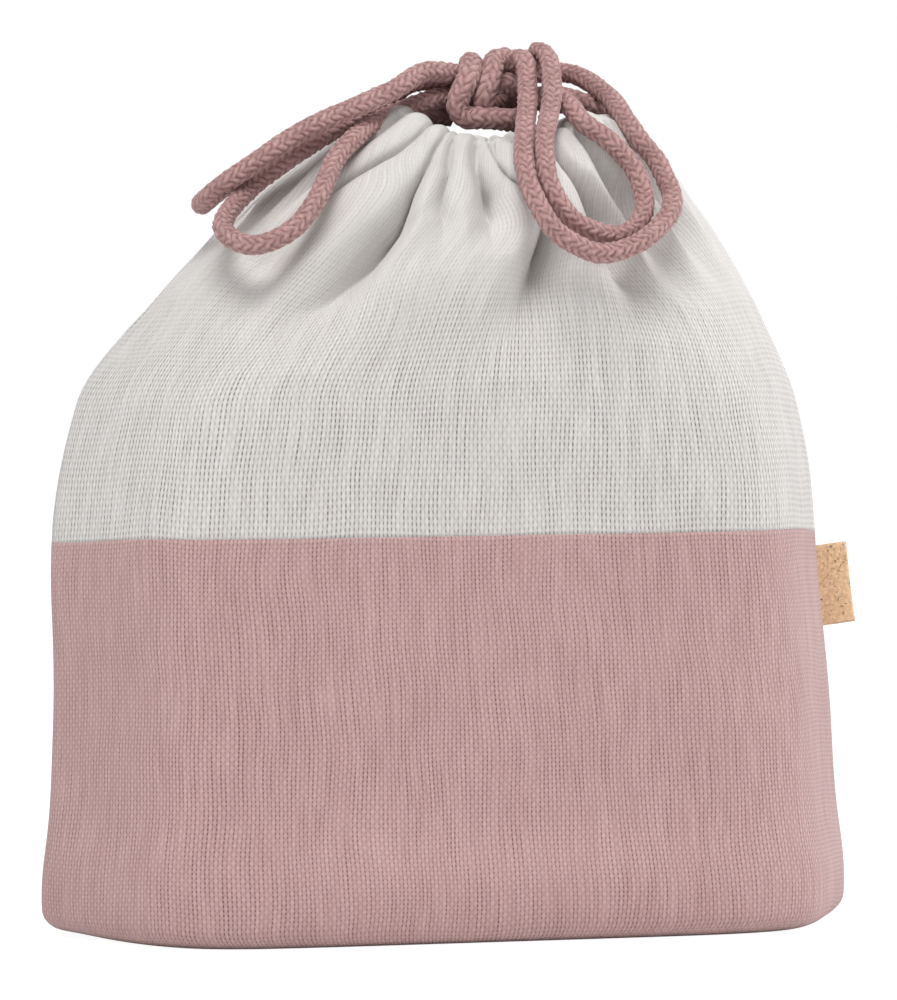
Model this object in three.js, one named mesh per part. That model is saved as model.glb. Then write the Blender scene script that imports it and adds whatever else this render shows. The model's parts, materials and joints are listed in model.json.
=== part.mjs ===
// Two-tone drawstring lunch bag: sewn cloth panels, a gathered mouth with its casing,
// a braided drawcord tied on top and a folded cork tag in the right side seam.
// Millimetres, +Z up, the front faces -Y and the origin is the middle of the base.
import * as THREE from 'three';

// Body sizes at each height: seam to seam, front to back, and how far the middle leans to +X
const BASE_WIDTH = 251;
const BASE_DEPTH = 120;
const WALL_HEIGHT = 60;
const WALL_WIDTH = 243.7;
const WALL_DEPTH = 114;
const WALL_LEAN = -0.5;
const WAIST_HEIGHT = 120;
const WAIST_WIDTH = 238.5;
const WAIST_DEPTH = 110;
const WAIST_LEAN = -3.2;
const SHOULDER_HEIGHT = 158;
const SHOULDER_WIDTH = 224.6;
const SHOULDER_DEPTH = 112;
const SHOULDER_LEAN = -2.6;
const CROWN_HEIGHT = 188;
const CROWN_WIDTH = 185.5;
const CROWN_DEPTH = 112;
const CROWN_LEAN = 1.7;
const THROAT_HEIGHT = 212;
const THROAT_WIDTH = 147;
const THROAT_DEPTH = 102;
const THROAT_LEAN = 5.9;
const CASING_FOOT_HEIGHT = 233;
const CASING_FOOT_WIDTH = 98;
const CASING_FOOT_DEPTH = 84;
const CASING_FOOT_LEAN = 10.5;
const MOUTH_HEIGHT = 245;
const MOUTH_WIDTH = 66;
const MOUTH_DEPTH = 58;
const MOUTH_LEAN = 14.5;

// Cloth
const CLOTH = 1.2;              // thickness of a panel, measured level
const SEAM_GAP = 0.3;           // clearance between pieces that are sewn together
const FLAT_FRONT = 188;         // width of the flat front over the box inside, at the base
const EDGE_ROUNDNESS = 9;       // exponent that rounds the upright edges, lower is softer
const SEAM_SOFTNESS = 0.03;     // rounds the ridge of a side seam, as a share of its half width
const RIDGE_SLANT = 1.18;       // a side wall is this much thicker measured along X
const BASE_ROUND = 6;           // radius between the base and the walls
const MOUTH_DIP = 5.5;          // the mouth's edge sags this far in front and behind
const WAIST_DROOP = 3;          // the two-tone join is this much lower at the side seams

// Gathers
const GATHERS = 18;             // folds round the mouth
const CROWN_FOLD = 1.0;         // depth of a fold either side of the mean surface
const THROAT_FOLD = 2.4;
const CASING_FOLD = 2.2;
const MOUTH_FOLD = 1.3;

// Bindings of the inside seams
const BINDING = 1.0;            // thickness of a flat binding
const BINDING_WIDTH = 8;
const FIN = 2.2;                // thickness of an upright side-seam binding

// Drawcord
const CORD = 6;
const CORD_CLEARANCE = 0.8;     // round a cord in the casing
const EXIT_GAP = 24;            // between the front and back casing at each side

// Tag
const TAG_HEIGHT = 24.5;
const TAG_DROP = 7.5;           // below the two-tone join
const TAG_BOTTOM = WAIST_HEIGHT - TAG_DROP - TAG_HEIGHT;
const TAG_REACH = 8.7;          // from the hinge line to the fold
const TAG_THICKNESS = 2.2;
const TAG_TILT = 7;             // degrees, leaning in at the top
const TAG_CLEARANCE = 0.7;      // between the tag's rounded root and the seam

const HALF_TURN = Math.PI;
const QUARTER_TURN = Math.PI / 2;

const stations = [
  { z: 0, width: BASE_WIDTH, depth: BASE_DEPTH, lean: 0, round: 0, fold: 0 },
  { z: WALL_HEIGHT, width: WALL_WIDTH, depth: WALL_DEPTH, lean: WALL_LEAN, round: 0, fold: 0 },
  { z: WAIST_HEIGHT, width: WAIST_WIDTH, depth: WAIST_DEPTH, lean: WAIST_LEAN, round: 0, fold: 0 },
  { z: SHOULDER_HEIGHT, width: SHOULDER_WIDTH, depth: SHOULDER_DEPTH, lean: SHOULDER_LEAN,
    round: 0.15, fold: 0 },
  { z: CROWN_HEIGHT, width: CROWN_WIDTH, depth: CROWN_DEPTH, lean: CROWN_LEAN,
    round: 0.7, fold: CROWN_FOLD },
  { z: THROAT_HEIGHT, width: THROAT_WIDTH, depth: THROAT_DEPTH, lean: THROAT_LEAN,
    round: 1, fold: THROAT_FOLD },
  { z: CASING_FOOT_HEIGHT, width: CASING_FOOT_WIDTH, depth: CASING_FOOT_DEPTH,
    lean: CASING_FOOT_LEAN, round: 1, fold: CASING_FOLD },
  { z: MOUTH_HEIGHT, width: MOUTH_WIDTH, depth: MOUTH_DEPTH, lean: MOUTH_LEAN,
    round: 1, fold: MOUTH_FOLD },
];

// A size of the body as a smooth function of height, without overshoot between the stations
function sizeAlong(key) {
  const z = stations.map((station) => station.z);
  const value = stations.map((station) => station[key]);
  const last = value.length - 1;
  const rise = value.slice(1).map((v, i) => (v - value[i]) / (z[i + 1] - z[i]));
  const slope = value.map((v, i) => {
    if (i === 0) return rise[0];
    if (i === last) return rise[last - 1];
    const product = rise[i - 1] * rise[i];
    return product > 0 ? (2 * product) / (rise[i - 1] + rise[i]) : 0;
  });
  return (height) => {
    let i = 0;
    while (i < last - 1 && height > z[i + 1]) i += 1;
    const span = z[i + 1] - z[i];
    const t = (height - z[i]) / span;
    const from = (1 + 2 * t) * (1 - t) ** 2 * value[i] + t * (1 - t) ** 2 * span * slope[i];
    const to = t * t * (3 - 2 * t) * value[i + 1] + t * t * (t - 1) * span * slope[i + 1];
    return from + to;
  };
}

const width = sizeAlong('width');
const depth = sizeAlong('depth');
const lean = sizeAlong('lean');
const roundness = sizeAlong('round');
const foldDepth = sizeAlong('fold');

// Level sag of the mouth in front and behind, fading out below the crown
function mouthDip(turn, z) {
  const share = THREE.MathUtils.smoothstep(z, CROWN_HEIGHT, MOUTH_HEIGHT);
  return MOUTH_DIP * share * Math.sin(turn) ** 2;
}

// Uneven gathers: a cosine round the mouth whose phase wanders
function gather(turn, z) {
  const phase = GATHERS * turn + 0.9 * Math.sin(3 * turn + 1) + 0.6 * Math.sin(2 * turn);
  return foldDepth(z) * Math.cos(phase);
}

// A point on the cloth's outside. turn 0 is the right side seam and -90 degrees the front.
// A section goes from a hexagon round the box inside to an ellipse at the throat, and inset
// draws it in level, square to its walls.
function clothPoint(turn, z, inset, folded = true) {
  const a = width(z) / 2 - RIDGE_SLANT * inset;
  const b = depth(z) / 2 - inset;
  const angle = Math.atan2(depth(z) * Math.sin(turn), width(z) * Math.cos(turn));
  const across = Math.abs(Math.cos(angle));
  const along = Math.abs(Math.sin(angle));
  const ridge = Math.hypot(along, SEAM_SOFTNESS) - SEAM_SOFTNESS;
  const taper = (1 - FLAT_FRONT / BASE_WIDTH) * a;
  const frontPlane = along / b;
  const sidePlane = (across + (ridge * taper) / b) / a;
  const p = EDGE_ROUNDNESS;
  const boxy = (frontPlane ** p + sidePlane ** p) ** (1 / p);
  const oval = Math.hypot(across / a, along / b);
  const share = roundness(z);
  const ripple = folded ? gather(turn, z) : 0;
  const radius = 1 / ((1 - share) * boxy + share * oval) + ripple;
  return new THREE.Vector3(
    lean(z) + radius * Math.cos(angle),
    radius * Math.sin(angle),
    z - mouthDip(turn, z),
  );
}

// Closed solid from triangles on a list of points
function solid(points, faces) {
  const geometry = new THREE.BufferGeometry();
  geometry.setAttribute('position', new THREE.Float32BufferAttribute(points.flatMap((p) => p.toArray()), 3));
  geometry.setIndex(faces);
  geometry.computeVertexNormals();
  return geometry;
}

// Closed solid between an outer and an inner grid, rows upwards and columns anticlockwise
function shell(outer, inner) {
  const rows = outer.length;
  const columns = outer[0].length;
  const inside = rows * columns;
  const faces = [];
  const quad = (a, b, c, d) => faces.push(a, b, c, a, c, d);
  for (let row = 0; row < rows - 1; row += 1) {
    for (let column = 0; column < columns - 1; column += 1) {
      const i = row * columns + column;
      quad(i, i + 1, i + 1 + columns, i + columns);
      quad(inside + i, inside + i + columns, inside + i + columns + 1, inside + i + 1);
    }
    const first = row * columns;
    const end = first + columns - 1;
    quad(first, first + columns, inside + first + columns, inside + first);
    quad(end + columns, end, inside + end, inside + end + columns);
  }
  const top = (rows - 1) * columns;
  for (let column = 0; column < columns - 1; column += 1) {
    quad(column + 1, column, inside + column, inside + column + 1);
    quad(top + column, top + column + 1, inside + top + column + 1, inside + top + column);
  }
  return solid([...outer.flat(), ...inner.flat()], faces);
}

// Closed tube of four-cornered section with a four-cornered bore, open at both ends
function boredBar(sections) {
  const points = sections.flatMap((section) => [...section.outer, ...section.bore]);
  const faces = [];
  const quad = (a, b, c, d) => faces.push(a, b, c, a, c, d);
  const last = (sections.length - 1) * 8;
  for (let corner = 0; corner < 4; corner += 1) {
    const next = (corner + 1) % 4;
    for (let i = 0; i < last; i += 8) {
      quad(i + corner, i + next, i + 8 + next, i + 8 + corner);
      quad(i + 4 + corner, i + 12 + corner, i + 12 + next, i + 4 + next);
    }
    quad(next, corner, 4 + corner, 4 + next);
    quad(last + corner, last + next, last + 4 + next, last + 4 + corner);
  }
  return solid(points, faces);
}

function spread(from, to, steps) {
  return Array.from({ length: steps + 1 }, (_, i) => from + ((to - from) * i) / steps);
}

// Turn at which a seam edge lies half a clearance from a side seam
const EDGE_TURN = SEAM_GAP / BASE_DEPTH;
const FRONT = [-HALF_TURN + EDGE_TURN, -EDGE_TURN];
const BACK = [EDGE_TURN, HALF_TURN - EDGE_TURN];

function waistHeight(turn) {
  return WAIST_HEIGHT - WAIST_DROOP * Math.cos(turn) ** 8;
}

const LOWER_COLUMNS = 28;
const LOWER_RISERS = 4;
const ROUND_STEPS = 3;

// Lower panel: rounded in at the base, then up to the two-tone join
function lowerPanel([from, to]) {
  const turns = spread(from, to, LOWER_COLUMNS);
  const face = (skin) => {
    const radius = BASE_ROUND - skin;
    const foot = spread(0, QUARTER_TURN, ROUND_STEPS).map((arc) => turns.map((turn) => {
      const point = clothPoint(turn, BASE_ROUND, BASE_ROUND - radius * Math.sin(arc));
      point.z = BASE_ROUND - radius * Math.cos(arc);
      return point;
    }));
    const wall = spread(0, 1, LOWER_RISERS).slice(1).map((share) => turns.map((turn) => {
      const top = waistHeight(turn) - SEAM_GAP / 2;
      return clothPoint(turn, THREE.MathUtils.lerp(BASE_ROUND, top, share), skin);
    }));
    return [...foot, ...wall];
  };
  return shell(face(0), face(CLOTH));
}

const UPPER_COLUMNS = 45;
const UPPER_ROWS = 8;
const EDGE_SLANT = 0.6;         // the top edge is cut square to the slope, like the casing's foot

// Upper panel: from the two-tone join to the foot of the casing, with its gathers
function upperPanel([from, to]) {
  const turns = spread(from, to, UPPER_COLUMNS);
  const face = (skin) => spread(0, 1, UPPER_ROWS).map((share) => turns.map((turn) => {
    const foot = waistHeight(turn) + SEAM_GAP / 2;
    const top = CASING_FOOT_HEIGHT - 2.5 * SEAM_GAP - EDGE_SLANT * skin;
    return clothPoint(turn, THREE.MathUtils.lerp(foot, top, share), skin);
  }));
  return shell(face(0), face(CLOTH));
}

// Casing: a flat sleeve lying on the slope from its foot up to the mouth.
// up runs along the slope and deep goes in from the mean surface, square to it.
const SLEEVE_ROOM = CORD + 2 * CORD_CLEARANCE;
const SLEEVE_ROOF = CASING_FOLD + CLOTH;
const SLEEVE_DEPTH = SLEEVE_ROOF + SLEEVE_ROOM + CLOTH;

function sleeve(turn) {
  const foot = clothPoint(turn, CASING_FOOT_HEIGHT, 0, false);
  const top = clothPoint(turn, MOUTH_HEIGHT, 0, false);
  const slope = top.clone().sub(foot);
  const length = slope.length();
  slope.normalize();
  const step = 0.01;
  const ahead = clothPoint(turn + step, CASING_FOOT_HEIGHT, 0, false).sub(foot);
  const outward = ahead.cross(slope).normalize();
  const at = (up, deep) => foot.clone().addScaledVector(slope, up).addScaledVector(outward, -deep);
  return { at, length };
}

// The casing stops short of the side seams, on the upper panel's own columns
function casingTurns([from, to]) {
  const gapTurn = Math.asin(EXIT_GAP / MOUTH_DEPTH);
  const clear = (turn) => turn - from > gapTurn && to - turn > gapTurn;
  return spread(from, to, UPPER_COLUMNS).filter(clear);
}

function casing(half) {
  const sections = casingTurns(half).map((turn) => {
    const { at, length } = sleeve(turn);
    const floor = SLEEVE_DEPTH - CLOTH;
    const foot = clothPoint(turn, CASING_FOOT_HEIGHT, 0);
    const rim = clothPoint(turn, MOUTH_HEIGHT, 0);
    return {
      outer: [foot, at(0, SLEEVE_DEPTH), at(length, SLEEVE_DEPTH), rim],
      bore: [at(CLOTH, SLEEVE_ROOF), at(CLOTH, floor),
        at(length - CLOTH, floor), at(length - CLOTH, SLEEVE_ROOF)],
    };
  });
  return boredBar(sections);
}

// Level outline at the base, with the lower panels' own corners so that their edges run parallel
function flatOutline(inset) {
  const turns = [...spread(...FRONT, LOWER_COLUMNS), ...spread(...BACK, LOWER_COLUMNS)];
  return turns.map((turn) => {
    const point = clothPoint(turn, BASE_ROUND, inset);
    return new THREE.Vector2(point.x, point.y);
  });
}

function basePanel() {
  const outline = new THREE.Shape(flatOutline(BASE_ROUND + SEAM_GAP));
  return new THREE.ExtrudeGeometry(outline, { depth: CLOTH, bevelEnabled: false });
}

function baseBinding() {
  const ring = new THREE.Shape(flatOutline(BASE_ROUND - SEAM_GAP));
  ring.holes.push(new THREE.Path(flatOutline(BASE_ROUND + BINDING_WIDTH)));
  const geometry = new THREE.ExtrudeGeometry(ring, { depth: BINDING, bevelEnabled: false });
  return geometry.translate(0, 0, CLOTH + SEAM_GAP);
}

// Flat binding behind the two-tone join
function waistBinding([from, to]) {
  const turns = spread(from, to, LOWER_COLUMNS).slice(2, -2);
  const face = (skin) => [BINDING_WIDTH, 0].map((drop) => turns.map((turn) => (
    clothPoint(turn, waistHeight(turn) - SEAM_GAP - drop, skin)
  )));
  return shell(face(CLOTH + SEAM_GAP), face(CLOTH + SEAM_GAP + BINDING));
}

const SEAM_STEPS = 8;

// Upright binding inside a side seam, from above the base binding to below the casing
function seamBinding(side) {
  const turn = side > 0 ? 0 : HALF_TURN;
  const root = CLOTH + 3 * SEAM_GAP;
  const heights = spread(BASE_ROUND, THROAT_HEIGHT, SEAM_STEPS);
  const face = (y) => heights.map((z) => {
    const outer = clothPoint(turn, z, root, false).setY(y);
    const inner = clothPoint(turn, z, root + BINDING_WIDTH, false).setY(y);
    return side > 0 ? [inner, outer] : [outer, inner];
  });
  return shell(face(-FIN / 2), face(FIN / 2));
}

const CORD_SIDES = 8;

// Round cord along a smooth curve through points
function cord(points, steps) {
  const path = new THREE.CatmullRomCurve3(points, false, 'centripetal');
  const ring = spread(0, 2 * HALF_TURN, CORD_SIDES).slice(1);
  const section = new THREE.Shape(ring.map((turn) => (
    new THREE.Vector2(Math.cos(turn), Math.sin(turn)).multiplyScalar(CORD / 2)
  )));
  return new THREE.ExtrudeGeometry(section, { steps, extrudePath: path, bevelEnabled: false });
}

function route(list) {
  return list.map(([x, y, z]) => new THREE.Vector3(x, y, z));
}

// The drawcords lie side by side in the casing, share of the way up the sleeve
const LEFT_LEVEL = 0.71;
const RIGHT_LEVEL = 0.29;

function casingCord(fromTurn, toTurn, level) {
  const turns = spread(fromTurn, toTurn, 40);
  return turns.map((turn) => {
    const { at, length } = sleeve(turn);
    return at(length * level, SLEEVE_ROOF + SLEEVE_ROOM / 2);
  });
}

// Each ring ends just inside the casing, at the side where its leads come out
const frontEnds = casingTurns(FRONT);
const ringInset = SEAM_GAP / MOUTH_DEPTH;
const leftStart = frontEnds[0] + ringInset;
const leftRing = casingCord(leftStart, -leftStart, LEFT_LEVEL);
const rightStart = -frontEnds.at(-1) + ringInset;
const rightRing = casingCord(rightStart, 2 * HALF_TURN - rightStart, RIGHT_LEVEL);

// The first two points of a lead, which takes over from a ring's end a clearance further on
function fromRing(ring, end) {
  const [tip, before] = end === 'first' ? [ring[0], ring[1]] : [ring.at(-1), ring.at(-2)];
  const onward = tip.clone().sub(before).normalize();
  return [2 * SEAM_GAP, CORD / 2].map((on) => tip.clone().addScaledVector(onward, on).toArray());
}

const cordRoutes = {
  knot_left_wrap: [
    [5.4, -3.6, 256.6], [4.4, -8.3, 258.8], [3, -13.4, 257.3], [0.5, -16.8, 253.4], [-1.8, -17, 248.6],
    [-2, -16.6, 245.2], [0.4, -16.6, 242.7], [5, -17, 242.5], [10.5, -16.8, 242.1], [15.5, -14.5, 241.8],
    [19, -10.5, 241.8],
  ],
  knot_right_wrap: [
    [15.7, -8.8, 259.8], [13.4, -9.4, 260], [10.9, -10.9, 259.1], [9.2, -14.2, 256.8], [7.4, -16.4, 253],
    [6.3, -16.6, 250], [6, -16.2, 248.6],
  ],
  knot_core: [
    [3.6, -9, 250], [10, -9, 250], [16, -8.5, 249.7], [20.5, -4.5, 248.8],
    [21, 1.5, 247.8], [16.5, 5.7, 247], [10, 6.4, 246.5], [3.6, 6.4, 246.5],
  ],
  left_loop_outer: [
    [-3.2, -11.5, 255.8], [-11.8, -14.5, 256.2], [-24.4, -20.5, 250.2], [-51.2, -22.5, 239],
    [-68.8, -20, 227.4], [-75.1, -14.8, 222.2], [-77.8, -5.5, 217.6], [-75.2, 3, 217.2], [-68.2, 8, 221.3],
    [-43.6, 9.5, 236.7], [-30.2, 7.5, 244.2], [-9.3, 4, 253.2], [-7, 2.6, 253.6], [-1.5, 1.8, 253.2],
  ],
  left_loop_inner: [
    [-1.5, -4.6, 254.2], [-9, -4.8, 253.8], [-15, -6, 252.2], [-19.9, -6.5, 248.7], [-29.1, -10, 244.2],
    [-49.1, -15, 233.6], [-65.4, -15, 222.1], [-76.7, -25, 212.5], [-77.8, -31, 208.8], [-72, -40, 205.4],
    [-61.6, -43, 209.5], [-52.4, -39.5, 218.8], [-44.5, -30, 229.3], [-39.8, -26.5, 234.2],
    [-24.8, -14.5, 242.2], [-7, -9.4, 248.2], [-1.5, -8.6, 248.8],
  ],
  right_loop_outer: [
    [19.5, -0.5, 258], [19.4, -6, 259.8], [19.6, -13, 259.5], [18.4, -20, 252.3], [15.5, -29, 245.1],
    [11.1, -40.5, 237.5], [7.9, -52, 225.8], [10.9, -60, 214.1], [15.5, -62, 208.2], [27.6, -62, 202.9],
    [41.3, -59, 206.3], [53.5, -49.5, 214.7], [56.2, -43, 219.6], [55.7, -38, 224.6], [54.3, -33.5, 229.9],
    [50.9, -29, 235.6], [48.8, -22, 241.5], [47.7, -13, 247.5], [42.7, 3, 256], [39.1, 6.5, 257.5],
    [25.5, 7, 256],
  ],
  right_loop_inner: [
    [26.3, -0.5, 258.5], [26.1, -6.5, 262.2], [27, -12.5, 260.4], [24.9, -24, 250.8], [22.2, -30.5, 245.1],
    [15.7, -45, 233.9], [14.9, -53.5, 222.8], [21.5, -56, 212.4], [33.9, -54.5, 208], [40.5, -52, 209.4],
    [44.6, -49.5, 213.2], [46.8, -45.5, 218.5], [45.8, -42.5, 225], [42.6, -39.2, 231.2], [37.6, -36.7, 236.5],
    [31.8, -32.7, 241.2], [29.9, -28.3, 245], [29, -21, 247.9], [27.2, -14, 248.8],
  ],
  left_lead_front: [
    ...fromRing(leftRing, 'first'), [-19, -4.2, 238.2], [-14.5, -3, 241.2], [-6, -1.2, 242.6],
    [1.3, -0.6, 243],
  ],
  left_lead_back: [
    ...fromRing(leftRing, 'last'), [-19, 4.2, 238.2], [-14.5, 4.6, 241.6], [-6, 6, 245],
    [2.6, 6.4, 246.5],
  ],
  right_lead_front: [
    ...fromRing(rightRing, 'last'), [53.5, -6, 237.5], [50, -4.4, 242.6], [41, -4, 247],
    [33, -4.2, 249], [27.6, -4.4, 249.2],
  ],
  right_lead_back: [
    ...fromRing(rightRing, 'first'), [53.5, 6, 237.5], [50, 4.4, 242.4], [41, 5, 246],
    [33, 6.4, 247.3], [27.2, 7.4, 247.4],
  ],
};

// Folded tag with a rounded root that turns on the hinge line beside the seam
function sideTag() {
  const half = TAG_THICKNESS / 2;
  const outline = new THREE.Shape();
  outline.moveTo(0, -half);
  outline.lineTo(TAG_REACH - half, -half);
  outline.absarc(TAG_REACH - half, 0, half, -QUARTER_TURN, QUARTER_TURN);
  outline.lineTo(0, half);
  outline.absarc(0, 0, half, QUARTER_TURN, 3 * QUARTER_TURN);
  return new THREE.ExtrudeGeometry(outline, { depth: TAG_HEIGHT, bevelEnabled: false, curveSegments: 6 });
}

const pinkCloth = new THREE.MeshStandardMaterial({ color: 0xba9795, roughness: 0.95, metalness: 0 });
const naturalCloth = new THREE.MeshStandardMaterial({ color: 0xd1cbc8, roughness: 0.95, metalness: 0 });
const tape = new THREE.MeshStandardMaterial({ color: 0xcfc8c2, roughness: 0.95, metalness: 0 });
const braid = new THREE.MeshStandardMaterial({ color: 0xab8886, roughness: 0.9, metalness: 0 });
const cork = new THREE.MeshStandardMaterial({ color: 0xcaa988, roughness: 0.8, metalness: 0 });

const group = new THREE.Group();

function add(name, geometry, material) {
  const mesh = new THREE.Mesh(geometry, material);
  mesh.name = name;
  group.add(mesh);
  return mesh;
}

add('base_panel', basePanel(), pinkCloth);
add('base_seam_binding', baseBinding(), tape);
add('front_lower_panel', lowerPanel(FRONT), pinkCloth);
add('back_lower_panel', lowerPanel(BACK), pinkCloth);
add('front_upper_panel', upperPanel(FRONT), naturalCloth);
add('back_upper_panel', upperPanel(BACK), naturalCloth);
add('front_casing', casing(FRONT), naturalCloth);
add('back_casing', casing(BACK), naturalCloth);
add('front_waist_binding', waistBinding(FRONT), tape);
add('back_waist_binding', waistBinding(BACK), tape);
add('left_seam_binding', seamBinding(-1), tape);
add('right_seam_binding', seamBinding(1), tape);
add('left_casing_cord', cord(leftRing, 40), braid);
add('right_casing_cord', cord(rightRing, 40), braid);

const CORD_STEP = 2 * CORD;
for (const [name, list] of Object.entries(cordRoutes)) {
  const points = route(list);
  const length = new THREE.CatmullRomCurve3(points, false, 'centripetal').getLength();
  add(name, cord(points, Math.max(6, Math.round(length / CORD_STEP) + list.length - 4)), braid);
}

const tagMiddle = TAG_BOTTOM + TAG_HEIGHT / 2;
const tagRoot = clothPoint(0, tagMiddle, 0, false);
const tag = add('side_tag', sideTag(), cork);
const tagTilt = THREE.MathUtils.degToRad(TAG_TILT);
tag.rotation.y = -tagTilt;
tag.position.set(
  tagRoot.x + TAG_CLEARANCE + TAG_THICKNESS / 2 + Math.sin(tagTilt) * (TAG_HEIGHT / 2),
  0,
  TAG_BOTTOM,
);

export default group;
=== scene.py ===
"""Two-tone drawstring lunch bag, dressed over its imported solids: linen panels gathered into a casing,
a round braided drawcord tied on top and a folded cork tag in the right side seam.
Shapes are worked out in millimetres in the bag's own frame and stored in metres."""
import json
import math

import bpy
import numpy as np
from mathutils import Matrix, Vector


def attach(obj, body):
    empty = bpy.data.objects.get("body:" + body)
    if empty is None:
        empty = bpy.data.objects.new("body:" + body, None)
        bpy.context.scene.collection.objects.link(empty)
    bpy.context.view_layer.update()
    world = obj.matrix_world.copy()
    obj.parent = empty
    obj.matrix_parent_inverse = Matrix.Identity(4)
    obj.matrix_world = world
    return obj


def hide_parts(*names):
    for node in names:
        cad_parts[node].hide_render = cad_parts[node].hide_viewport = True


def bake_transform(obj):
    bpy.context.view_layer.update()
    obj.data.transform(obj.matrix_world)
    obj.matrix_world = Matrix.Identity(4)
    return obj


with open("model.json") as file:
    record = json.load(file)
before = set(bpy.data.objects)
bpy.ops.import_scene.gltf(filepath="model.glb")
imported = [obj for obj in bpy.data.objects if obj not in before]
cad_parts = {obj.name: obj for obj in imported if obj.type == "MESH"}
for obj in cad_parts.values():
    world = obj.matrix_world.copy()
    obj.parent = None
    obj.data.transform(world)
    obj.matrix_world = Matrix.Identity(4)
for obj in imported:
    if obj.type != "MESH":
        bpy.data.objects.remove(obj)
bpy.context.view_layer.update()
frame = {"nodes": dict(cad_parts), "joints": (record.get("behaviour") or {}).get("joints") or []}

MM = 0.001

# Body sizes at each height, as on the solids: seam to seam, front to back, lean to +X, roundness
WAIST, CROWN, CASING_FOOT, MOUTH = 120.0, 188.0, 233.0, 245.0
HEIGHTS = np.array([0, 60, WAIST, 158, CROWN, 212, CASING_FOOT, MOUTH])
WIDTHS = np.array([251, 243.7, 238.5, 224.6, 185.5, 147, 98, 66.0])
DEPTHS = np.array([120, 114, 110, 112, 112, 102, 84, 58.0])
LEANS = np.array([0, -0.5, -3.2, -2.6, 1.7, 5.9, 10.5, 14.5])
ROUNDNESS = np.array([0, 0, 0, 0.15, 0.7, 1, 1, 1.0])
FLAT_FRONT = 188.0
EDGE_ROUNDNESS = 9
SEAM_SOFTNESS = 0.03
RIDGE_SLANT = 1.18
BASE_ROUND = 6.0
MOUTH_DIP = 8.0
WAIST_DROOP = 3.0
CLOTH = 0.9
CASING_DEPTH = 12.2
EXIT_GAP = 24.0
CORD = 6.0


def smooth_through(knots, values):
    """Monotone cubic through the knots: slopes are harmonic means, so it never overshoots."""
    knots, values = np.asarray(knots, float), np.asarray(values, float)
    rise = np.diff(values) / np.diff(knots)
    product = rise[:-1] * rise[1:]
    total = np.where(product > 0, rise[:-1] + rise[1:], 1.0)
    slope = np.concatenate([rise[:1], np.where(product > 0, 2 * product / total, 0.0), rise[-1:]])

    def value(at):
        """Cubic between the two knots beside each place, from their values and slopes."""
        at = np.clip(at, knots[0], knots[-1])
        i = np.clip(np.searchsorted(knots, at, side="right") - 1, 0, len(knots) - 2)
        span = knots[i + 1] - knots[i]
        t = (at - knots[i]) / span
        start = (1 + 2 * t) * (1 - t) ** 2 * values[i] + t * (1 - t) ** 2 * span * slope[i]
        end = t * t * (3 - 2 * t) * values[i + 1] + t * t * (t - 1) * span * slope[i + 1]
        return start + end

    return value


def smoothstep(low, high, value):
    """Eased step, 3 t^2 - 2 t^3 of the share t of the way from low to high."""
    t = np.clip((value - low) / (high - low), 0, 1)
    return t * t * (3 - 2 * t)


width = smooth_through(HEIGHTS, WIDTHS)
depth = smooth_through(HEIGHTS, DEPTHS)
lean = smooth_through(HEIGHTS, LEANS)
roundness = smooth_through(HEIGHTS, ROUNDNESS)

# The rim stands up on both sides of the knot: turn and spread in degrees, rise
RIM_HUMPS = [(-153, 13, 4.0), (-56, 14, 5.0)]
HUMP_FOOT = 218.0


def rim_height(turn, height):
    """Level of the cloth: the mouth sags in front and behind as sin^2 of the turn, and a bell curve
    lifts it on each side of the knot."""
    sag = MOUTH_DIP * np.sin(turn) ** 2 * smoothstep(CROWN, MOUTH, height)
    rise = 0
    for middle, spread, lift in RIM_HUMPS:
        bump = np.exp(-((np.degrees(turn) - middle) / spread) ** 2)
        rise = rise + lift * bump * smoothstep(HUMP_FOOT, MOUTH, height)
    return height - sag + rise


def bag_surface(turn, height, inset=0.0):
    """The unfolded cloth at a turn round the bag (0 right seam, -90 degrees front) and a height.
    A section is a hexagon round the box inside, as a p-norm of its two pairs of planes, and goes
    over to an ellipse at the throat."""
    a = width(height) / 2 - RIDGE_SLANT * inset
    b = depth(height) / 2 - inset
    angle = np.arctan2(depth(height) * np.sin(turn), width(height) * np.cos(turn))
    across, along = np.abs(np.cos(angle)), np.abs(np.sin(angle))
    ridge = np.hypot(along, SEAM_SOFTNESS) - SEAM_SOFTNESS
    taper = (1 - FLAT_FRONT / WIDTHS[0]) * a
    power = EDGE_ROUNDNESS
    boxy = ((along / b) ** power + ((across + ridge * taper / b) / a) ** power) ** (1 / power)
    oval = np.hypot(across / a, along / b)
    share = roundness(height)
    radius = 1 / ((1 - share) * boxy + share * oval)
    x = lean(height) + radius * np.cos(angle)
    y = radius * np.sin(angle)
    return np.stack([x, y, rim_height(turn, height)], axis=-1)


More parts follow.
